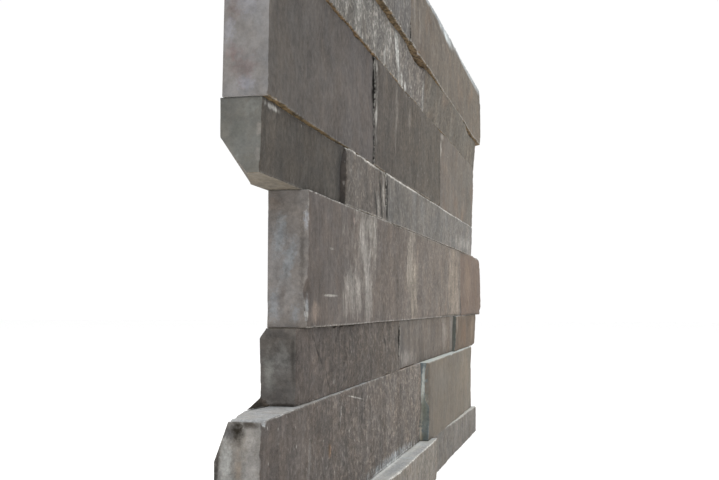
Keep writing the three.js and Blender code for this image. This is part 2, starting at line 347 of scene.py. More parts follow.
def sawn_block(node, pitch, blows, spur, slant):
    """A closed block of facets that follows a stone's solid: level beds, upright ends, and
    the split face and the back where they lie at each point. Each blow is a place on the
    front (x, z), the radius it struck and how far the nearest arris spalled, in mm. A spur
    at the back foot corner of the near end has a length, a width and a height, in mm. The
    slant is how far along X the near end's head stands from its foot, in mm."""
    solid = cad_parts[node].data
    places = [vertex.co for vertex in solid.vertices]
    tree = BVHTree.FromPolygons(places, [polygon.vertices for polygon in solid.polygons])
    low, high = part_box(node)
    low.x += max(spur[0], -slant) * MM - CLOSER * (int(node[-1]) > 1)
    high.x += CLOSER * (f"{node[:-1]}{int(node[-1]) + 1}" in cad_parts)
    size = high - low

    def hit(point, direction):
        """Where the solid is met from a point."""
        return tree.ray_cast(Vector(point), Vector(direction))[0]

    def within(values, first, last):
        """Places that keep clear of the solid's edges."""
        return np.clip(values, first + INSET, last - INSET)

    along = closing_places(size.x, pitch[0] * MM, FINEST) / size.x
    up = closing_places(size.z, pitch[1] * MM, FINEST) / size.z
    across = low.x + along[:, None] * size.x + (1 - along)[:, None] * slant * MM * up
    through = closing_places(size.y, THROUGH_PITCH, FINEST) / size.y
    inside = low.y + MIDST * size.y
    safe_x = within(across, across[0], across[-1])
    below, above = low.z - OUTSIDE, high.z + OUTSIDE
    foot = np.array([hit((x, inside, below), (0, 0, 1)).z for x in safe_x[:, 0]])
    head = np.array([hit((x, inside, above), (0, 0, -1)).z for x in safe_x[:, -1]])
    foot -= CLOSER * (low.z > solid_box[0][2] + CLOSER)
    head += CLOSER * (high.z < solid_box[1][2] - CLOSER)
    levels = foot[:, None] + (head - foot)[:, None] * up

    def depths(start, direction):
        """Where the face or the back lies at each place, felt for from a plane."""
        zs = within(levels, foot[:, None], head[:, None])
        rows = [zip(*row) for row in zip(safe_x, zs)]
        return np.array([[hit((x, start, z), direction).y for x, z in row] for row in rows])

    faceted = depths(low.y - OUTSIDE, (0, 1, 0))
    front = smoothed(faceted, max(1, round(EASING / pitch[0])))
    front += np.maximum(faceted - front - CRISP, 0)
    back = depths(high.y + OUTSIDE, (0, -1, 0))

    count = [len(along) - 1, len(through) - 1, len(up) - 1]
    skin = np.zeros([c + 1 for c in count], bool)
    for axis in range(3):
        edge = [slice(None)] * 3
        for edge[axis] in (0, -1):
            skin[tuple(edge)] = True
    number = np.full(skin.shape, -1)
    number[skin] = np.arange(skin.sum())
    i, j, k = np.nonzero(skin)
    depth = through[j]
    y = front[i, k] * (1 - depth) + back[i, k] * depth
    points = np.column_stack((across[i, k], y, levels[i, k]))
    if spur[0]:
        left = 1 - (high.y - y) / (spur[1] * MM) - (levels[i, k] - foot[i]) / (spur[2] * MM)
        points[:, 0] -= np.clip(left, 0, 1) * (i == 0) * spur[0] * MM

    faces = []
    for axis in range(3):
        for end in (0, -1):
            sheet = np.take(number, end, axis=axis)
            ring = (sheet[:-1, :-1], sheet[1:, :-1], sheet[1:, 1:], sheet[:-1, 1:])
            quads = np.stack(ring, axis=-1).reshape(-1, 4)
            faces.append(quads if (end == 0) != (axis != 1) else quads[:, ::-1])
    mesh = bpy.data.meshes.new(node)
    mesh.from_pydata(points.tolist(), [], np.concatenate(faces).tolist())

    struck = np.zeros(len(points))
    for x, z, radius, reach in blows:
        away = np.hypot(points[:, 0] / MM - x, points[:, 2] / MM - z)
        struck = np.maximum(struck, reach * np.clip(1 - away / radius, 0, 1) ** 0.5)
    thickness = (back - front)[i, k] / MM
    kept = {
        "front": depth * thickness,
        "back": (1 - depth) * thickness,
        "near": (across[i, k] - across[0, k]) / MM,
        "far": (across[-1, k] - across[i, k]) / MM,
        "foot": (levels[i, k] - foot[i]) / MM,
        "head": (head[i] - levels[i, k]) / MM,
        "split": 1 - depth,
        "struck": struck,
    }
    for name, values in kept.items():
        layer = mesh.attributes.new(name, "FLOAT", "POINT")
        layer.data.foreach_set("value", np.maximum(values, 0))
    return mesh


SHARP_FROM = math.radians(50)


def cut_stone(
    node, slot, material, pitch=(1.6, 1.1), blows=(), spur=(0, 0, 0), slant=0, **amounts
):
    """A finished stone that stands for a node's solid. The pitch is the facets' length and
    height on its face, in mm, and the amounts are the cleaving's own."""
    block = sawn_block(node, pitch, blows, spur, slant)
    piece = bpy.data.objects.new(node + "_stone", block)
    bpy.context.scene.collection.objects.link(piece)
    split = piece.modifiers.new("cleaving", "NODES")
    split.node_group = cleaving
    inputs = {item.name: item.identifier for item in cleaving.interface.items_tree}
    split[inputs["Stone"]] = material
    for name, value in amounts.items():
        split[inputs[name.capitalize()]] = float(value)
    seen = piece.evaluated_get(bpy.context.evaluated_depsgraph_get())
    finished = bpy.data.meshes.new_from_object(seen)
    for point in finished.vertices:
        point.co = [min(max(v, a), b) for v, a, b in zip(point.co, *solid_box)]
    piece.modifiers.clear()
    piece.data = finished
    finished.shade_smooth()
    finished.set_sharp_from_angle(angle=SHARP_FROM)
    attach(piece, "root")
    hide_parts(node)


cleaving = cleaving_tree()


# Quartzite is sugary sand grown into quartz, grey with brown iron stain. Its split face is
# darker than its sawn ends and beds, and a broken edge shows paler fresh stone.

def linear(part):
    """A part of a display colour, from 0 to 1, as an amount of light."""
    return part / 12.92 if part <= 0.04045 else ((part + 0.055) / 1.055) ** 2.4


def colour(code):
    """Linear red, green, blue and alpha of a colour written as six hexadecimal digits."""
    return (*(linear(int(code[k:k + 2], 16) / 255) for k in (0, 2, 4)), 1)


def effect(name, inputs, outputs, draw):
    """A shader node group: inputs with their usual values, outputs drawn by a function."""
    tree = bpy.data.node_groups.new(name, "ShaderNodeTree")
    for title, usual in inputs.items():
        kind = "NodeSocketFloat" if isinstance(usual, float) else "NodeSocketVector"
        socket = tree.interface.new_socket(title, in_out="INPUT", socket_type=kind)
        socket.default_value = usual
    for title in outputs:
        tree.interface.new_socket(title, in_out="OUTPUT", socket_type="NodeSocketFloat")
    given = tree.nodes.new("NodeGroupInput")
    flows = draw(*(Flow(tree, given.outputs[title]) for title in inputs))
    out = tree.nodes.new("NodeGroupOutput")
    for title, flow in zip(outputs, flows):
        tree.links.new(flow.socket, out.inputs[title])
    return tree


def draw_mottling(place, size):
    """Soft clouds of lighter and darker stone, with finer clouds in them."""
    clouds = place.vector("DIVIDE", size).noise(1.0, detail=7.0, roughness=0.68)
    return (clouds.ramp(0.32, 0.68),)


STREAK_WIDTH = 0.13  # of a streak's height


def draw_streaks(place, width):
    """Layers that the split cut across: upright streaks of a width, each far taller."""
    layers = place.vector("DIVIDE", width).vector("MULTIPLY", (1, 1, STREAK_WIDTH))
    streaked = layers.noise(1.0, detail=6.0, roughness=0.66, distortion=0.25)
    return (streaked.ramp(0.33, 0.67),)


def draw_scale_shading(place, size):
    """Painted light and shade of the split's small scales: a shade about 0, with painted
    shade in the steps between the scales.
    """
    backs = place.vector("DIVIDE", size).noise(1.0, detail=4.0, roughness=0.6, distortion=0.6)
    steps = (backs - 0.5).math("ABSOLUTE").ramp(0.05, 0.0)
    return ((backs - 0.5) * 2.6 - steps * 0.4 + 0.08,)


def draw_flecks(place, size, share):
    """Single pale grains in cells of a size, in a share of the cells."""
    cells = place.vector("DIVIDE", size).vector("MULTIPLY", (1, 1, 0.7))
    chosen = cells.cells(1.0, "Color").math("LESS_THAN", share)
    return (cells.cells(1.0).ramp(0.2, 0.06) * chosen,)


SUGAR_GRAIN, SUGAR_CLUSTER = 0.55, 2.1  # mm


def draw_sugar(place, strength):
    """The grain of the quartz: a shade about 1 for each grain, and its height."""
    grains = place.noise(SUGAR_GRAIN, detail=2, roughness=0.7)
    coarse = place.noise(SUGAR_CLUSTER, detail=3, roughness=0.6)
    shade = (grains - 0.5) * strength * 4.0 + (coarse - 0.5) * strength * 3.0 + 1.0
    return (shade, grains * 0.6 + coarse)


STAIN = 26  # mm across


def draw_stain(place, amount):
    """Iron that soaked in along the layers: 0 where there is none, 1 where it is strong."""
    soaked = place.noise(STAIN, detail=6, roughness=0.6, distortion=0.4)
    return ((soaked + amount).ramp(0.85, 1.25),)


def draw_patch(place, edge, middle, axis, turn, size, ragged):
    """A mark of a size about a middle, turned about an axis, with a ragged edge."""
    inputs = {"Vector": place.vector("SUBTRACT", middle), "Axis": axis, "Angle": turn}
    turned = place.through("ShaderNodeVectorRotate", inputs, rotation_type="AXIS_ANGLE")
    far = turned.vector("DIVIDE", size)
    length = far.through("ShaderNodeVectorMath", {0: far}, "Value", operation="LENGTH")
    return ((length + (edge - 0.5) * ragged * 5.0).ramp(1.15, 0.25),)


zero = (0, 0, 0)
mottling = effect("mottling", {"Place": zero, "Size": 9.0}, ["Shade"], draw_mottling)
streaks = effect("streaks", {"Place": zero, "Width": 4.0}, ["Shade"], draw_streaks)
scale_shading = effect("scale_shading", {"Place": zero, "Size": 2.4}, ["Shade"], draw_scale_shading)
flecks = effect("flecks", {"Place": zero, "Size": 5.0, "Share": 0.4}, ["Mask"], draw_flecks)
sugar = effect("sugar", {"Place": zero, "Strength": 0.1}, ["Shade", "Height"], draw_sugar)
stain = effect("iron stain", {"Place": zero, "Amount": 0.3}, ["Mask"], draw_stain)
patch_inputs = {
    "Place": zero,
    "Edge": 0.5,
    "Middle": zero,
    "Axis": (0, 1, 0),
    "Turn": 0.0,
    "Size": (1, 1, 1),
    "Ragged": 0.3,
}
patch = effect("patch", patch_inputs, ["Mask"], draw_patch)

THROUGH = 999  # half size of a mark in the direction that it runs through the stone
BROAD = 3.5  # a mark whose smaller half size is over this has a coarser edge


def on_bed(bed, code, strength, x, from_wall, half_length, half_width, ragged=0.5):
    """A mark on the sawn head, where it shows as a ledge, or on the foot."""
    place = (x, WALL / MM - from_wall, 0), (half_length, half_width, THROUGH)
    return bed, code, strength, *place, (0, 0, 1), 0, ragged


IRON_BROWN = "6e5540"
SAWN_BACK = "66615a"
COOL, WARM = (0.97, 1.0, 1.035, 1), (1.03, 1.0, 0.965, 1)
NEXT_STONE, NEXT_COURSE = 530.0, 310.0  # mm off in the rock, so that no two look alike
FOOT_BLOTCH, SAW_MARK, CHIP = 2.4, 1.3, 1.3  # mm
FIBRE, BAND = 2.6, 9.0  # mm wide
FLECK = 3.2  # mm from one to the next
ROUGHNESS = 0.85
GLOSS = 0.15
GRAIN_HEIGHT = 0.3 * MM


def quartzite(
    node,
    face,
    end="64615f",
    ledge="7d7f7d",
    under="665c50",
    fresh_and_lit="8f8d88",
    iron=0.3,
    clouding=(0.3, 0.4),
    cloud=9.0,
    streaky=0.2,
    scale_shaded=(0.3, 0.3),
    flecked=0.15,
    grain=0.14,
    rim=(0.3, 0.3, 0.1, 0.3),
    blotched=1.3,
    marks=(),
):
    """Quartzite for one stone. The split face has a mean colour at its near and its far
    end, and the ends, head and foot have one each. Clouding is how much the face and the
    ends vary. The small scales of the split show in painted light and shade, as strongly as
    given for its near and its far end. The pale lines along the head, foot, near and far
    arris of the face are as pale as given: fresh chipped stone and partly a painted
    highlight. The foot is blotched with painted highlight and shade, as strongly as given."""
    material = bpy.data.materials.new(node + "_quartzite")
    material.use_nodes = True
    tree = material.node_tree
    shader = tree.nodes["Principled BSDF"]
    start = Flow(tree, tree.nodes.new("ShaderNodeTexCoord").outputs["Object"])
    place = start.scaled(1 / MM)
    course, number = int(node[6]), int(node[-1])
    rock = place.vector("ADD", (number * NEXT_STONE, 0, course * NEXT_COURSE))
    normal = start.through("ShaderNodeNewGeometry", {}, "Normal")
    facing = start.through("ShaderNodeSeparateXYZ", {0: normal}).socket.node.outputs
    across, out, up = (Flow(tree, socket) for socket in facing)

    def group(effect_tree, output, **inputs):
        """One output of a shader node group."""
        return start.through("ShaderNodeGroup", inputs, output, node_tree=effect_tree)

    def kept(name):
        """What the stone's mesh keeps at each of its points."""
        return start.through("ShaderNodeAttribute", {}, "Fac", attribute_name=name)

    def mixed(first, second, share):
        """Two colours, by the share of the second."""
        inputs = {0: share, 6: first, 7: second}
        return start.through("ShaderNodeMix", inputs, 2, data_type="RGBA")

    along = kept("near") / (kept("near") + kept("far"))
    on_ends = across.math("ABSOLUTE").ramp(0.55, 0.85)
    split = out.ramp(-0.4, -0.7)
    paint = mixed(colour(face[0]), colour(face[-1]), along)
    paint = mixed(paint, colour(end), on_ends)
    paint = mixed(paint, colour(ledge), up.ramp(0.5, 0.85))
    beneath = up.ramp(-0.5, -0.85)
    # Blotches on the foot, lighter and darker: painted highlight and shade.
    foot_blotches = rock.vector("MULTIPLY", (0.5, 1, 1)).noise(FOOT_BLOTCH, detail=4, roughness=0.75)
    paint = mixed(paint, colour(under), beneath)
    paint = paint.scaled((foot_blotches.ramp(0.36, 0.64) - 0.45) * beneath * blotched + 1.0)
    back = out.ramp(0.5, 0.9)
    sawn = rock.vector("MULTIPLY", (0.02, 1, 1)).noise(SAW_MARK, detail=3, roughness=0.7)
    paint = mixed(paint, colour(SAWN_BACK), back)
    paint = paint.scaled((sawn - 0.5) * back * 0.6 + 1.0)
    soaked = group(stain, "Mask", Place=rock, Amount=iron)
    paint = mixed(paint, colour(IRON_BROWN), soaked * 0.35)

    # Clouds of two tints, and on the split face the cut layers.
    broad = group(mottling, "Shade", Place=rock, Size=cloud * 3)
    coarse = group(mottling, "Shade", Place=rock, Size=cloud)
    fine = group(mottling, "Shade", Place=rock, Size=cloud / 4)
    fibres = group(streaks, "Shade", Place=rock, Width=FIBRE)
    layers = group(streaks, "Shade", Place=rock, Width=BAND) * 1.2 + fibres * 0.8 - 1.0
    other = rock.vector("ADD", (0, 200, 0))
    tint = group(mottling, "Shade", Place=other, Size=cloud * 1.4)
    paint = paint.vector("MULTIPLY", mixed(COOL, WARM, tint))

    # Each side's marks have an edge as ragged as the rock there, in two sizes of lumps, in
    # mm: one for small marks and one for broad ones.
    edges = {
        "face": (rock.vector("MULTIPLY", (1, 1, 0.4)), 2.2, 9.0),
        "end": (rock, 1.6, 5.0),
        "head": (rock.vector("MULTIPLY", (0.3, 1, 1)), 1.6, 5.0),
        "foot": (rock.vector("MULTIPLY", (0.3, 1, 1)), 1.6, 5.0),
    }
    sides = {
        "face": split * (fibres * 0.7 + 0.6),
        "end": across.ramp(-0.4, -0.7),
        "head": up.ramp(0.5, 0.85),
        "foot": up.ramp(-0.5, -0.85),
    }
    for side, code, strength, middle, size, axis, turn, ragged in marks:
        stretched, small, large = edges[side]
        edge = stretched.noise(large if min(size) > BROAD else small, detail=5, roughness=0.7)
        inputs = {"Middle": middle, "Axis": axis, "Turn": math.radians(turn), "Size": size}
        mask = group(patch, "Mask", Place=place, Edge=edge, Ragged=ragged, **inputs)
        paint = mixed(paint, colour(code), mask * sides[side] * strength)

    # Fresh stone in the flaked edges; along each arris of the face a thin pale line, which is
    # fresh chipped stone and partly a painted highlight where the arris catches the light;
    # and single bright grains.
    broken = kept("spalled").ramp(0.08, 0.35)
    paint = mixed(paint, colour(fresh_and_lit), broken * (fine * 0.5 + 0.1))
    chipped = rock.noise(CHIP, detail=3, roughness=0.7).ramp(0.42, 0.62)
    for side, strength in zip(("head", "foot", "near", "far"), rim):
        line = (kept(side) + kept("front")).ramp(0.9, 0.25)
        paint = mixed(paint, colour(fresh_and_lit), line * chipped * strength)
    bright = group(flecks, "Mask", Place=rock, Size=FLECK, Share=flecked)
    paint = mixed(paint, colour(fresh_and_lit), bright * 0.5)

    level = up.math("ABSOLUTE").ramp(0.5, 0.85)
    contrast = (on_ends * (clouding[1] - clouding[0]) + clouding[0]) * (1.0 - level * 0.55)
    finer = 0.8 - on_ends * 0.5
    clouds = (broad - 0.5) * 0.9 + (coarse - 0.5) * 0.8 + (fine - 0.5) * finer
    clouds = clouds * contrast + 1.0
    # Painted light and shade of the split's small scales, darker in the steps between them,
    # as strong as given at the near and the far end.
    rough = along.ramp(0, 0.4) * (scale_shaded[1] - scale_shaded[0]) + scale_shaded[0]
    scales = group(scale_shading, "Shade", Place=rock) * split * rough
    clouds = clouds * (layers * split * streaky + 1.0) * (scales + 1.0)
    strength = (on_ends * -0.45 + 1.0) * grain
    grains = group(sugar, "Shade", Place=rock, Strength=strength)
    paint = paint.scaled(clouds * grains)
    tree.links.new(paint.socket, shader.inputs["Base Color"])
    shader.inputs["Roughness"].default_value = ROUGHNESS
    shader.inputs["Specular IOR Level"].default_value = GLOSS
    height = Flow(tree, grains.socket.node.outputs["Height"])
    inputs = {"Height": height, "Strength": 0.7, "Distance": GRAIN_HEIGHT}
    bump = start.through("ShaderNodeBump", inputs)
    tree.links.new(bump.socket, shader.inputs["Normal"])
    return material


skin = quartzite(
    "course1_stone1",
    face=("68635c", "6b665f"),
    ledge="9b9c9a",
    fresh_and_lit="c4c2bc",
    iron=0.36,
    scale_shaded=(0.5, 0.5),
    grain=0.18,
    rim=(0.9, 0.2, 0.3, 0.3),
    marks=[
        on_bed("head", "83868a", 0.6, -104, 21.5, 30, 3.4, ragged=0.8),
        on_bed("head", "85868a", 0.5, -40, 23, 24, 2.4, ragged=0.8),
        on_bed("head", "bcbdbb", 0.8, -100, 17.0, 60, 1.3, ragged=0.6),
        on_bed("head", "b0b1ae", 0.6, -20, 18.4, 34, 1.6, ragged=0.7),
    ],
)
cut_stone("course1_stone1", "brown_quartzite", skin, seed=11)

skin = quartzite(
    "course1_stone2", face=("5b5752", "5e5a55"), ledge="a3a29d", rim=(0.6, 0.3, 0.2, 0.3)
)
cut_stone("course1_stone2", "grey_quartzite", skin, seed=12)


# ------------------------------------------------------------------------------- course 2
# A thick course, glued on the first. The grey near stone lost the back corner of its near
# end and shows a pale ledge, scratches and a rusty fleck. The tan one stands 5 mm proud of
# it and split smooth, with wide soft clouds and hardly any scales.

def on_face(code, strength, x, z, half_length, half_height, turn=0, ragged=0.5):
    """A mark on the split face; turned, its head leans towards the far end."""
    place = (x, 0, z), (half_length, THROUGH, half_height)
    return "face", code, strength, *place, (0, 1, 0), -turn, ragged


def on_end(code, strength, from_wall, z, half_width, half_height, turn=0, ragged=0.5):
    """A mark on the near end; turned, its head leans towards the wall."""
    place = (0, WALL / MM - from_wall, z), (THROUGH, half_width, half_height)
    return "end", code, strength, *place, (1, 0, 0), turn, ragged


NEAR_PITCH = (1.1, 0.8)  # mm, finer facets on the stones of the near end

# The tan stones of the far end all split smooth.
SMOOTH = {"clouding": (0.2, 0.4), "cloud": 16.0, "scale_shaded": (0.1, 0.1), "flecked": 0.05}
SMOOTH_SPLIT = {"scale": 0.02, "grain": 0.02}

skin = quartzite(
    "course2_stone1",
    face=("48423e", "5d5751"),
    end="696662",
    ledge="868685",
    streaky=0.26,
    scale_shaded=(0.3, 1.0),
    flecked=0.3,
    grain=0.26,
    rim=(0.35, 0.2, 0.0, 0.5),
    marks=[
        on_bed("head", "6e5d4e", 0.85, -60, 16.5, 70, 9, ragged=0.2),
        on_face("6f5842", 0.85, -214, 50, 2.4, 3.2, turn=-15, ragged=0.4),
        on_face("3a342e", 0.5, -216, 53, 1.2, 5, turn=-20, ragged=0.5),
        on_face("6d6a67", 0.5, -244, 50, 2.4, 12, turn=12, ragged=0.4),
        on_face("a09d96", 0.75, -169, 67.4, 19, 0.45, turn=8, ragged=0.25),
        on_face("8f8d8a", 0.5, -196, 62, 0.8, 8, turn=20, ragged=0.3),
        on_face("8c9193", 0.6, -90, 28.2, 64, 3.2, ragged=0.9),
        on_face("adb0b0", 0.7, -90, 26.8, 70, 0.9, ragged=0.6),
        # Painted light: a pale line along the foot of the face, which paints out the shade in
        # the joint over the ledge below.
        on_face("c6c9c9", 0.9, -90, 25.6, 84, 0.9, ragged=0.3),
        # Painted shade: dark marks in the notch of the broken back corner of the near end.
        on_end("454342", 1.0, 5.0, 68.2, 3.8, 4.4, turn=-25, ragged=0.3),
        on_end("1f1b15", 1.0, 8.0, 68.6, 2.6, 5.4, turn=6, ragged=0.3),
        on_end("2c2721", 0.9, 12.0, 70.6, 4.4, 1.8, ragged=0.3),
        on_end("302d2a", 0.9, 1.1, 58, 1.1, 9, turn=-8, ragged=0.3),
        on_end("6f6459", 0.6, 8.2, 56, 1.7, 7, ragged=0.4),
        on_end("7f7c79", 0.6, 12.5, 57, 2.8, 13, ragged=0.5),
        on_end("868683", 0.8, 4.1, 59, 2.6, 9, ragged=0.4),
        on_end("302e2b", 0.9, 0.5, 48, 1.4, 16, ragged=0.3),
    ],
)
cut_stone("course2_stone1", "grey_quartzite", skin, NEAR_PITCH, seed=21, lump=0.32, scale=0.2)

skin = quartzite(
    "course2_stone2",
    face=("58524a", "5d574e"),
    end="586062",
    ledge="aab0ad",
    iron=0.3,
    streaky=0.05,
    grain=0.07,
    rim=(1.0, 0.3, 0.1, 0.5),
    marks=[
        on_face("625e58", 0.5, 60, 58, 34, 14, ragged=0.7),
        on_face("544d44", 0.45, 120, 40, 34, 14, ragged=0.7),
        on_face("655b4e", 0.45, 205, 55, 30, 16, ragged=0.7),
        # Painted light: the lower end is paler, against the shade in the corner over the
        # ledge below.
        on_end("767a74", 0.9, 19.2, 41, 3.2, 14, ragged=0.5),
        on_end("a6aaa5", 1.0, 18.0, 57, 1.3, 19, turn=-3, ragged=0.25),
        on_end("918f85", 0.9, 17.2, 40, 1.1, 16, turn=-3, ragged=0.5),
        on_end("a39c90", 0.9, 16.6, 30, 1.0, 6, ragged=0.4),
        on_end("6b6e64", 0.8, 18.6, 46, 2.2, 8, ragged=0.4),
        on_end("4c4e47", 0.5, 19.4, 28, 2.2, 4, ragged=0.5),
        on_end("73684f", 0.4, 17.2, 28, 1.2, 4, ragged=0.4),
    ],
    **SMOOTH,
)
cut_stone("course2_stone2", "brown_quartzite", skin, (1.4, 1), seed=22, **SMOOTH_SPLIT)


# ------------------------------------------------------------------------------- course 3
# A thin course, glued on set back at its near end. The dark near stone has open clefts
# across its face and a spur that the saw left at its foot, against the wall. Of the two
# brown ones, the far one stands 3 mm proud, so that its end shows.

CLEFT = "2b2724"
DARK_CORNER = "353230"
IN_A_JOINT = "24221f"  # a near end that closes on the stone before it

skin = quartzite(
    "course3_stone1",
    face=("47413d", "4b453f"),
    end="494643",
    ledge="3a342b",
    iron=0.25,
    streaky=0.3,
    scale_shaded=(0.5, 0.9),
    flecked=0.2,
    grain=0.24,
    rim=(0.1, 0.2, 0.0, 0.5),
    marks=[
        on_bed("head", "66625d", 1.0, -155, 0.5, 112, 4, ragged=0.1),
        on_face(CLEFT, 0.8, -228, 90, 0.9, 11, turn=-50, ragged=0.3),
        on_face(CLEFT, 0.7, -214, 79, 0.8, 9, turn=-42, ragged=0.3),
        on_face(CLEFT, 0.6, -106, 91, 1.6, 7, turn=-35, ragged=0.3),
        on_face("2e2a26", 0.5, -130, 84, 1.2, 8, ragged=0.4),
        on_face("77736d", 0.55, -203, 77, 2.6, 1.4, ragged=0.5),
        on_end("63635f", 0.6, 4, 84, 2.6, 9, ragged=0.4),
        on_end("666562", 0.5, 9, 90, 3, 8, ragged=0.5),
        on_end(DARK_CORNER, 0.6, 8, 97.5, 5, 2.6, ragged=0.5),
        on_end(DARK_CORNER, 0.5, 7, 76, 5, 3.4, ragged=0.5),
        on_end("35322f", 0.7, 13, 88, 1.0, 12, ragged=0.4),
        # Painted shadow: a dark line along the foot of the end, where the joint below is in
        # shade, and black at and around the spur, for the shadow under it.
        on_end("2b2825", 0.9, 9, 72.3, 8, 0.8, ragged=0.3),
        on_end("13110e", 1.0, 1.2, 72.6, 2.4, 1.2, ragged=0.2),
        on_bed("head", "181512", 0.9, -263, 2, 7, 4, ragged=0.2),
    ],
)
cut_stone(
    "course3_stone1",
    "grey_quartzite",
    skin,
    (1.0, 0.7),
    spur=(16, 3.4, 3.2),
    slant=-1.2,
    seed=31,
    lump=0.32,
    scale=0.2,
)

skin = quartzite(
    "course3_stone2",
    face=("544f4a", "544c44"),
    end=IN_A_JOINT,
    iron=0.3,
    streaky=0.16,
    grain=0.1,
    rim=(0.1, 0.2, 0.5, 0.1),
    marks=[
        on_face("5c5a57", 0.7, 141, 86, 9, 24, ragged=0.4),
        on_face("6f6a64", 0.5, 105, 88, 14, 14, ragged=0.6),
        on_face("7d7873", 0.5, -42, 79, 22, 5, ragged=0.6),
    ],
)
cut_stone("course3_stone2", "brown_quartzite", skin, seed=32)

skin = quartzite(
    "course3_stone3",
    face=("50463c", "51483e"),
    end="555854",
    iron=0.4,
    streaky=0.05,
    grain=0.08,
    rim=(0.3, 0.3, 0.2, 0.3),
    marks=[
        on_face("8f877e", 0.6, 156, 94, 3.5, 9, ragged=0.5),
        on_face("5d4a3a", 0.5, 205, 84, 22, 12, ragged=0.6),
        on_face("6a5f54", 0.5, 262, 88, 16, 14, ragged=0.6),
    ],
    **SMOOTH,
)
cut_stone("course3_stone3", "brown_quartzite", skin, seed=33, **SMOOTH_SPLIT)


# ------------------------------------------------------------------------------- course 4
# A thick course of one long grey stone, with pale bands across its face, chips along its
# near arris and a blotched end, and a short tan one, glued to it, that stands proud at the
# far end. Both have a painted shadow line along the foot there, for the shade of the joint.

# Painted shadow: a dark line along the face's foot, for the shade in the joint below.
FOOT_SHADOW_LINE = "3a342c"

skin = quartzite(
    "course4_stone1",
    face=("4d4743", "5d564f"),
    end="66625f",
    scale_shaded=(0.15, 0.6),
    rim=(1.0, 0.8, 0.0, 0.4),
    marks=[
        on_face("76716b", 0.35, -160, 125, 34, 24, turn=25, ragged=0.8),
        on_face("84817b", 0.36, -154, 140, 26, 11, turn=20, ragged=0.9),
        on_face("8a8882", 0.4, -141, 145, 10, 8, ragged=0.8),
        on_face("87837e", 0.45, -155, 129, 19, 11, turn=30, ragged=1.0),
        on_face("8a8680", 0.4, -182, 120, 12, 8, turn=30, ragged=1.1),
        on_face("807b75", 0.35, -178, 111, 20, 9, ragged=1.2),
        on_face("7b7772", 0.4, -150, 112, 13, 13, ragged=1.0),
        on_face("857e74", 0.55, -36, 130, 14, 30, ragged=0.7),
        on_face("827a6e", 0.5, -26, 117, 13, 26, ragged=0.7),
        on_face("7b7165", 0.6, 150, 122, 32, 30, ragged=0.6),
        on_face(FOOT_SHADOW_LINE, 0.9, 130, 100.3, 70, 1.4, ragged=0.2),
        on_face("a19e97", 0.5, -219, 112, 12, 0.6, ragged=0.4),
        on_face("85827c", 0.6, -217, 130.5, 4.5, 0.6, ragged=0.3),
        on_face("85766f", 0.6, -178, 145, 2.4, 2.2, ragged=0.5),
        on_face("7b6e64", 0.65, -242, 105.5, 8, 4.6, ragged=0.35),
        on_end("777b7e", 0.65, 6.5, 134, 3.2, 9, turn=-10, ragged=0.4),
        on_end("767a7d", 0.65, 10.0, 124, 2.6, 11, turn=-15, ragged=0.4),
        on_end("74787c", 0.5, 4.5, 108, 3.2, 7, ragged=0.5),
        on_end("6f7377", 0.5, 12.6, 105, 2.2, 4.5, ragged=0.5),
        on_end("5a5048", 0.5, 4.5, 145.5, 3.4, 3.4, ragged=0.5),
        on_end("514a45", 0.5, 7.6, 113, 1.6, 10, turn=-10, ragged=0.5),
        on_end("403c38", 0.6, 15.0, 128, 1.2, 19, ragged=0.5),
        on_end("80848a", 0.55, 16.2, 140, 1.0, 5, ragged=0.6),
        on_end("8b8e90", 0.7, 16.5, 107, 0.8, 5, ragged=0.5),
    ],
)
chips = [(-251, 144, 5, 0.7), (-251, 106, 4, 1.5)]
cut_stone(
    "course4_stone1", "grey_quartzite", skin, NEAR_PITCH, chips, slant=1.2, seed=41, spall=0.4
)

skin = quartzite(
    "course4_stone2",
    face=("584d45", "594e46"),
    iron=0.35,
    streaky=0.04,
    grain=0.07,
    rim=(0.9, 0.0, 0.0, 0.6),
    marks=[
        on_face(FOOT_SHADOW_LINE, 0.9, 240, 100.3, 60, 1.6, ragged=0.2),
        on_face("65594e", 0.6, 222, 128, 22, 20, ragged=0.6),
        on_face("4f443b", 0.5, 268, 122, 20, 24, ragged=0.6),
    ],
    **SMOOTH,
)
cut_stone("course4_stone2", "brown_quartzite", skin, seed=42, **SMOOTH_SPLIT)


# ------------------------------------------------------------------------------- course 5
# A thin course of three grey stones. The near one lost the lower back corner of its end
# and shows its tan foot beyond the course below. The next one stands a little proud and
# turns a dark end to it, and clefts with pale lips run down beside its far joint.

OPEN_CLEFT = "1c1a17"
CLEFT_LIP = "83807a"
PALE_HEAD = "b5b2ab"
PALE_SPOT = "7d7974"
BROKEN_AND_LIT_GREY = "a3a19b"

skin = quartzite(
    "course5_stone1",
    face=("3b3732", "3d3934"),
    end="51504c",
    under="645d52",
    iron=0.15,
    grain=0.14,
    clouding=(0.32, 0.32),
    rim=(0.2, 0.2, 0.0, 0.1),
    blotched=0.4,
    marks=[
        on_face("262422", 0.75, -198, 162, 7.5, 16, ragged=0.3),
        on_face("8d8c88", 0.7, -288, 172.6, 9, 1.1, ragged=0.4),
        on_end("60625e", 0.55, 3.5, 154, 4, 4.5, ragged=0.6),
        on_end("5f605d", 0.55, 12, 171, 3.4, 3.4, ragged=0.6),
        on_end("474844", 0.55, 7.5, 164, 3.5, 5.5, ragged=0.6),
        on_end("77716c", 0.4, 14.6, 164, 1.0, 2.4, ragged=0.6),
        on_end("706b67", 0.4, 13.9, 156.5, 1.1, 3.0, ragged=0.6),
    ],
)
cut_stone("course5_stone1", "grey_quartzite", skin, (0.9, 0.7), seed=51, wear=0.12, spall=0.4)

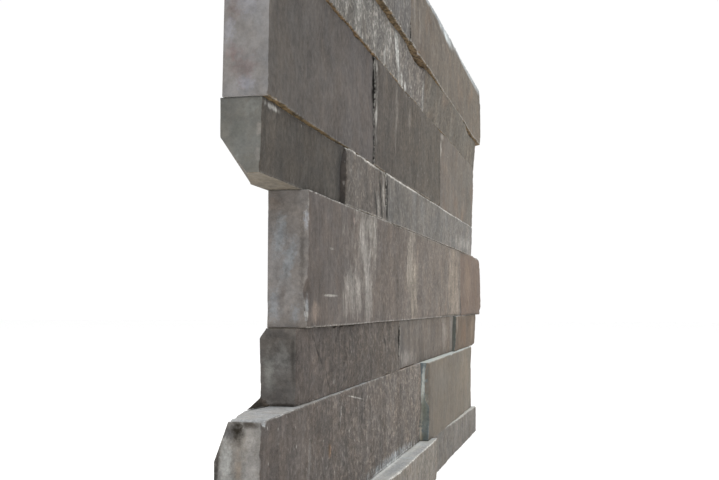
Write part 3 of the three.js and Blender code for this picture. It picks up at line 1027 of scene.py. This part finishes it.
skin = quartzite(
    "course5_stone2",
    face=("504b46", "504b46"),
    end="423e3b",
    fresh_and_lit=BROKEN_AND_LIT_GREY,
    iron=0.25,
    streaky=0.3,
    flecked=0.35,
    scale_shaded=(0.8, 0.8),
    grain=0.24,
    rim=(1.0, 0.6, 0.0, 0.5),
    marks=[
        on_end(PALE_SPOT, 0.6, 16.5, 159, 0.6, 1.4, ragged=0.6),
        on_end(PALE_SPOT, 0.5, 17.0, 168, 0.5, 0.8, ragged=0.6),
        on_end("262321", 0.5, 16.5, 153, 2.4, 4, ragged=0.4),
        on_face(PALE_HEAD, 0.6, -150, 174, 60, 1.0, ragged=0.6),
        on_face(OPEN_CLEFT, 1.0, -123, 162, 3.4, 15, ragged=0.7),
        on_face(OPEN_CLEFT, 1.0, -136, 155, 2.8, 8, ragged=0.7),
        on_face(CLEFT_LIP, 0.7, -116, 164, 3, 11, ragged=0.6),
        on_face(CLEFT_LIP, 0.7, -130, 156, 3, 7, ragged=0.6),
    ],
)
cut_stone("course5_stone2", "grey_quartzite", skin, NEAR_PITCH, seed=52)

skin = quartzite(
    "course5_stone3",
    face=("56534f", "5d5a56"),
    end=IN_A_JOINT,
    fresh_and_lit=BROKEN_AND_LIT_GREY,
    iron=0.2,
    streaky=0.2,
    scale_shaded=(0.5, 0.5),
    grain=0.18,
    rim=(1.0, 0.4, 0.5, 0.9),
    marks=[
        on_face("bcb9b2", 0.75, -60, 174, 70, 1.0, ragged=0.5),
        on_face(PALE_HEAD, 0.5, 110, 174.1, 110, 0.9, ragged=0.6),
        on_face(OPEN_CLEFT, 1.0, -107.6, 161, 3, 15, ragged=0.7),
        on_face("7f7c77", 0.45, 195, 157, 60, 6, ragged=0.5),
    ],
)
cut_stone("course5_stone3", "grey_quartzite", skin, seed=53)


# ------------------------------------------------------------------------------- course 6
# A thick course: a lilac grey stone with rusty clouds in its sawn end, then a dark one
# behind an open joint with chipped arrises, then a brown one, glued tight to it.

OPEN_JOINT = "2a2724"
CHIPPED = "9a9893"
LILAC = "707075"
PALE_STREAK = "6b6660"
PALE_SEAM = "85817a"

skin = quartzite(
    "course6_stone1",
    face=("46423e", "484340"),
    end="636160",
    under="56472f",
    iron=0.15,
    cloud=11.0,
    streaky=0.12,
    scale_shaded=(0.05, 0.3),
    flecked=0.04,
    grain=0.08,
    rim=(0.3, 0.2, 0.0, 0.1),
    marks=[
        on_face(OPEN_JOINT, 0.75, -141.4, 200, 2.6, 50, ragged=0.4),
        # Painted light: the foot under the near end is paler, to offset the shade where it
        # overhangs the course below.
        on_bed("foot", "7c7a79", 1.0, -299.2, 9, 2.2, 14, ragged=0.1),
        on_end("5c504e", 0.6, 9.5, 184, 5, 7, ragged=0.6),
        on_end("64504d", 0.35, 5.5, 189, 2.5, 4, ragged=0.5),
        on_end("5c504d", 0.5, 6, 203, 3, 5, ragged=0.6),
        on_end("707076", 0.6, 10.5, 178.5, 4, 2.6, ragged=0.5),
        on_end(LILAC, 0.55, 10, 208, 5, 8, ragged=0.6),
        on_end(LILAC, 0.55, 4, 196, 3, 5, ragged=0.6),
    ],
)
cut_stone("course6_stone1", "grey_quartzite", skin, NEAR_PITCH, slant=3.2, seed=61, wear=0.15)

skin = quartzite(
    "course6_stone2",
    face=("403b36", "46413a"),
    end="1b1a18",
    iron=0.2,
    streaky=0.2,
    scale_shaded=(0.5, 0.5),
    rim=(0.1, 0.3, 0.6, 0.2),
    marks=[
        on_face(OPEN_JOINT, 0.6, -139.4, 200, 1.6, 50, ragged=0.4),
        on_face(CHIPPED, 0.7, -137, 197, 3, 4, ragged=0.7),
        on_face(CHIPPED, 0.5, -138, 221, 3, 3, ragged=0.7),
        on_face("7f7d78", 0.4, -137, 200, 2.4, 24, ragged=0.9),
        on_face(PALE_STREAK, 0.4, -86, 204, 3.5, 20, ragged=0.6),
        on_face(PALE_STREAK, 0.35, -47, 211, 4, 9, ragged=0.6),
    ],
)
cut_stone("course6_stone2", "grey_quartzite", skin, (1.4, 1), seed=62)

skin = quartzite(
    "course6_stone3",
    face=("544e48", "54504a"),
    end="3b3833",
    iron=0.38,
    clouding=(0.22, 0.4),
    cloud=14.0,
    streaky=0.14,
    grain=0.1,
    marks=[
        on_face(PALE_SEAM, 0.8, 75, 222.5, 8, 2.4, ragged=0.5),
        on_face(PALE_SEAM, 0.6, 72, 214, 3, 6, ragged=0.7),
    ],
)
cut_stone("course6_stone3", "brown_quartzite", skin, seed=63)


# ------------------------------------------------------------------------------- course 7
# A thin course. The grey near stone is speckled white and crossed by a quartz vein, and a
# flake is gone from its head. The far one is brown, and the sawn foot of both is tan.

SPECKLED = "86847f"
VEIN = "8f8f8b"
TAN_FOOT = "5b4c37"

skin = quartzite(
    "course7_stone1",
    face=("5c5a56", "5b5651"),
    under="5f4d36",
    iron=0.2,
    streaky=0.26,
    scale_shaded=(1.3, 1.2),
    flecked=0.7,
    grain=0.36,
    rim=(0.2, 0.4, 0.2, 0.2),
    marks=[
        on_face(SPECKLED, 0.5, -178, 237, 9, 12, ragged=0.9),
        on_face(SPECKLED, 0.5, -146, 236, 10, 12, ragged=0.9),
        on_face(SPECKLED, 0.45, -112, 240, 10, 12, ragged=0.9),
        on_face("8d8c88", 0.6, -120, 230, 5, 5, ragged=0.9),
        on_face(VEIN, 0.85, -88, 238, 4.6, 17, turn=-30, ragged=0.4),
        on_face("a2a29e", 0.8, -91, 239, 1.8, 13, turn=-32, ragged=0.4),
        on_face(VEIN, 0.7, -74, 228, 3, 7, turn=-38, ragged=0.5),
        on_face("a5a5a2", 0.8, -62, 227, 4, 3.4, turn=-50, ragged=0.5),
        on_face("85847f", 0.5, -5, 234, 4, 9, ragged=1.2),
        on_face("2c2a27", 0.7, -2, 238, 2.4, 12, ragged=0.8),
    ],
)
cut_stone("course7_stone1", "grey_quartzite", skin, (1.2, 0.8), seed=71)

skin = quartzite(
    "course7_stone2",
    face=("4d4841", "4f4b44"),
    end=IN_A_JOINT,
    under=TAN_FOOT,
    iron=0.36,
    streaky=0.24,
    scale_shaded=(0.7, 0.7),
    grain=0.2,
    rim=(0.3, 0.3, 0.1, 0.9),
)
cut_stone("course7_stone2", "brown_quartzite", skin, seed=72)


# ------------------------------------------------------------------------------- course 8
# The head course, a grey and a brown stone, thick, and glued proud of the one below, so
# that their tan sawn foot shows. The arris of the head came off in two long splinters,
# which left a bevel painted bright: fresh stone, and partly a painted highlight where it
# faces the light above.

# The bevel faces up; its paint is fresh stone and partly a painted highlight from the light
# above.
BEVEL_FRESH_AND_LIT = "888c8d"
PALE_BAND = "76706a"

skin = quartzite(
    "course8_stone1",
    face=("565350", "565350"),
    ledge="858683",
    under=TAN_FOOT,
    iron=0.25,
    streaky=0.3,
    scale_shaded=(0.9, 0.9),
    grain=0.24,
    rim=(0.3, 0.9, 0.1, 0.5),
)
cut_stone("course8_stone1", "grey_quartzite", skin, seed=81)

skin = quartzite(
    "course8_stone2",
    face=("524c45", "534d45"),
    end=IN_A_JOINT,
    ledge="8f9290",
    under=TAN_FOOT,
    iron=0.38,
    streaky=0.18,
    rim=(0.9, 0.9, 0.6, 0.5),
    marks=[
        # The bevel: fresh stone and partly a painted highlight where it faces up to the
        # light.
        on_face(BEVEL_FRESH_AND_LIT, 1.0, 78, 298, 46, 8, turn=6, ragged=0.1),
        on_face("abb1b1", 0.9, 92, 297, 22, 7.5, turn=6, ragged=0.1),
        on_face("868a8b", 0.85, 10, 299, 100, 3.6, ragged=0.2),
        on_face(BEVEL_FRESH_AND_LIT, 0.9, 200, 299, 190, 5.5, ragged=0.15),
        on_face(PALE_BAND, 0.5, -53, 272, 4, 14, ragged=0.5),
        on_face(PALE_BAND, 0.5, -36, 266, 4, 14, ragged=0.5),
    ],
)
cut_stone("course8_stone2", "brown_quartzite", skin, seed=82)
